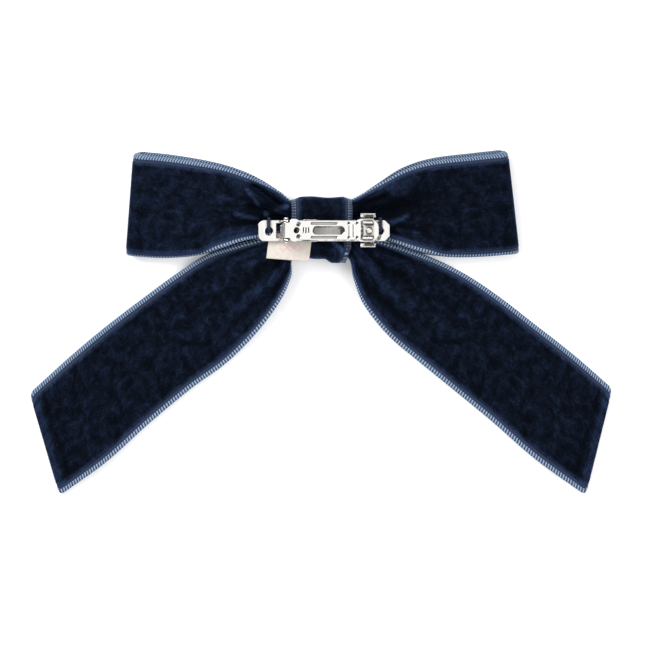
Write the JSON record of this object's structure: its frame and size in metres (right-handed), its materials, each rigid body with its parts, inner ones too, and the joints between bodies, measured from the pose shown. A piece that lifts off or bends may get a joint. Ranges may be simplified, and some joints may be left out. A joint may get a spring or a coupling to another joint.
{
  "type": "hair bow",
  "caption": "Velvet ribbon hair bow with two flat loops, two long slanted tails and a wrapped knot, sewn to a sprung French clip.",
  "frame": {"origin": "on the flat front face of the knot, below the knot's centre, on the surface the bow lies on", "axes": "+X along the clip from its hinge to its catch, +Y towards the upper selvages of the loops, +Z out of the bow's back, where the clip is"},
  "size_m": [0.226, 0.1335, 0.0215],
  "materials": {
    "velvet": "cut-pile velvet ribbon, midnight navy, with lighter ribbed selvages",
    "label_satin": "woven satin, cream",
    "sewing_thread": "polyester sewing thread, navy",
    "nickel_plate": "bright nickel-plated spring steel"
  },
  "bodies": {
    "bow": {"left_loop": "velvet", "right_loop": "velvet", "left_tail_front_ply": "velvet", "left_tail_back_ply": "velvet", "right_tail_front_ply": "velvet", "right_tail_back_ply": "velvet", "knot_band": "velvet", "gather_thread": "sewing_thread", "knot_stitch_1": "sewing_thread", "knot_stitch_2": "sewing_thread", "knot_stitch_3": "sewing_thread", "knot_stitch_4": "sewing_thread", "label": "label_satin", "base_plate": "nickel_plate", "hinge_pin": "nickel_plate", "clasp_base": "nickel_plate", "clasp_rivet": "nickel_plate", "left_hole_stitch": "sewing_thread", "right_hole_stitch": "sewing_thread"},
    "arm": {"top_arm": "nickel_plate"},
    "tension_bar": {"tension_bar": "nickel_plate"},
    "jaw_upper": {"clasp_jaw_upper": "nickel_plate"},
    "jaw_lower": {"clasp_jaw_lower": "nickel_plate"}
  },
  "joints": [
    {"name": "arm_swing", "type": "hinge", "parent": "bow", "child": "arm", "pos_m": [-0.0136, -0.0011, 0.01905], "axis": [0, -1, 0], "range_deg": [0, 105]},
    {"name": "tension_bar_press", "type": "slide", "parent": "bow", "child": "tension_bar", "axis": [0, 0, -1], "range_m": [0, 0.0006], "stiffness_N_per_m": 900},
    {"name": "jaw_upper_pinch", "type": "hinge", "parent": "bow", "child": "jaw_upper", "pos_m": [0.01833, 0.0018, 0.01531], "axis": [0.9945, 0, 0.1044], "range_deg": [0, 7], "stiffness_Nm_per_rad": 0.02},
    {"name": "jaw_lower_pinch", "type": "hinge", "parent": "bow", "child": "jaw_lower", "pos_m": [0.01833, -0.004, 0.01531], "axis": [-0.9945, 0, -0.1044], "range_deg": [0, 7], "stiffness_Nm_per_rad": 0.02}
  ]
}
